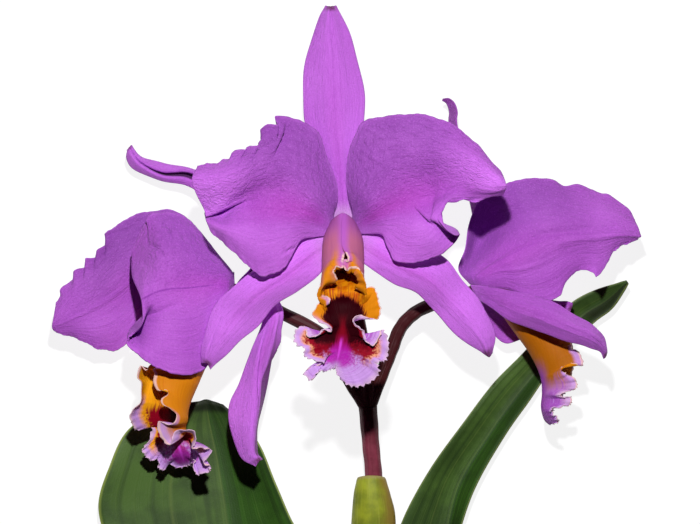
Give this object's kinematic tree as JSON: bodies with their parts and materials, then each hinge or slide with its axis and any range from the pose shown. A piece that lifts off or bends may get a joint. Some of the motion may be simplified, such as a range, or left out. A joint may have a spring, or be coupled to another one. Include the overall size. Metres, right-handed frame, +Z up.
{
  "type": "cattleya orchid",
  "caption": "Cut flowering growth of a magenta cattleya orchid, with frilled blooms on a branching stem, a sheath and leaves, lying on its back.",
  "frame": {"origin": "middle of the footprint on the surface that the growth lies on", "axes": "+Z up from the surface, the way the middle bloom faces; +Y from the cut pseudobulb toward the upright sepal of the middle bloom; +X toward the right bloom"},
  "size_m": [0.2962, 0.3608, 0.1094],
  "materials": {
    "sepal": "satin pinkish violet petal tissue, finely veined",
    "petal": "satin magenta violet petal tissue, finely veined, darker glow along the midrib",
    "lip": "satin petal tissue, orange throat, dark maroon middle lobe and pale lilac frilled margin",
    "column": "waxy pale lilac tissue",
    "stem": "smooth dark purplish brown stem skin",
    "sheath": "satin yellow-green leafy sheath, ribbed lengthwise",
    "leaf": "glossy, leathery green leaf skin",
    "bulb": "smooth green pseudobulb skin"
  },
  "bodies": {
    "root": {"center_dorsal_sepal": "sepal", "center_left_sepal": "sepal", "center_right_sepal": "sepal", "center_left_petal": "petal", "center_right_petal": "petal", "center_lip": "lip", "center_column": "column", "left_dorsal_sepal": "sepal", "left_near_sepal": "sepal", "left_far_sepal": "sepal", "left_near_petal": "petal", "left_far_petal": "petal", "left_lip": "lip", "left_column": "column", "right_dorsal_sepal": "sepal", "right_near_sepal": "sepal", "right_far_sepal": "sepal", "right_near_petal": "petal", "right_far_petal": "petal", "right_lip": "lip", "right_column": "column", "flower_stem": "stem", "sheath": "sheath", "left_leaf": "leaf", "right_leaf": "leaf", "pseudobulb": "bulb"}
  },
  "joints": []
}
